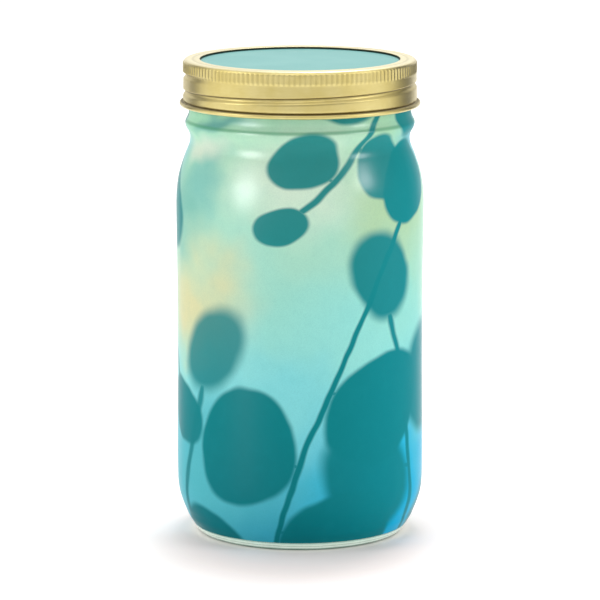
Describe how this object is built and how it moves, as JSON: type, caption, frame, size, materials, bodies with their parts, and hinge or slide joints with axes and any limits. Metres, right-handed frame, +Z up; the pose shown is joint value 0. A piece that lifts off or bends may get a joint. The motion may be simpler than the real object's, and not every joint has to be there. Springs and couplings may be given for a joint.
{
  "type": "hydroponic jar planter",
  "caption": "Wide-mouth glass jar with a knurled screw band and flat lid over a slotted steel cup of growing medium, fed from the jar by a felt wick.",
  "frame": {"origin": "centre of the jar's foot, on the surface that it stands on", "axes": "+Z up along the jar's axis; +Y points away from the picture's camera and +X to its right"},
  "size_m": [0.094, 0.094, 0.181],
  "materials": {
    "glass": "clear glass under a satin translucent mint and teal coat, clear at the foot and the mouth",
    "gold_band": "satin pale gold lacquer on tinplate",
    "teal_lid": "matte aqua enamel on tinplate",
    "seal": "soft matte",
    "steel": "drawn stainless sheet",
    "felt": "pressed felt",
    "coir": "loose coir fibre",
    "foil": "silvered film",
    "packet_paper": "uncoated brown paper",
    "leaflet_paper": "uncoated white paper"
  },
  "bodies": {
    "jar": {"glass_jar": "glass"},
    "lid": {"lid_disc": "teal_lid", "lid_seal": "seal"},
    "band": {"screw_band": "gold_band"},
    "grow_cup": {"net_cup": "steel", "wick": "felt", "growing_medium": "coir"},
    "packets": {"plant_food_sachet": "foil", "seed_packet": "packet_paper", "instruction_leaflet": "leaflet_paper"}
  },
  "joints": [
    {"name": "lid_rise", "type": "slide", "parent": "jar", "child": "lid", "axis": [0, 0, 1], "range_m": [0, 0.105]},
    {"name": "band_turn", "type": "hinge", "parent": "lid", "child": "band", "pos_m": [0, 0, 0.172], "axis": [0, 0, 1], "range_deg": [0, 5940]},
    {"name": "cup_lift", "type": "slide", "parent": "jar", "child": "grow_cup", "axis": [0, 0, 1], "range_m": [0, 0.08]},
    {"name": "packets_lift", "type": "slide", "parent": "grow_cup", "child": "packets", "axis": [0, 0, 1], "range_m": [0, 0.018]}
  ],
  "couplings": [
    {"joint": "lid_rise", "follows": "band_turn", "m_per_rad": 0.0010106},
    {"joint": "cup_lift", "follows": "band_turn", "m_per_rad": 0.00077},
    {"joint": "packets_lift", "follows": "band_turn", "m_per_rad": 0.00017}
  ]
}
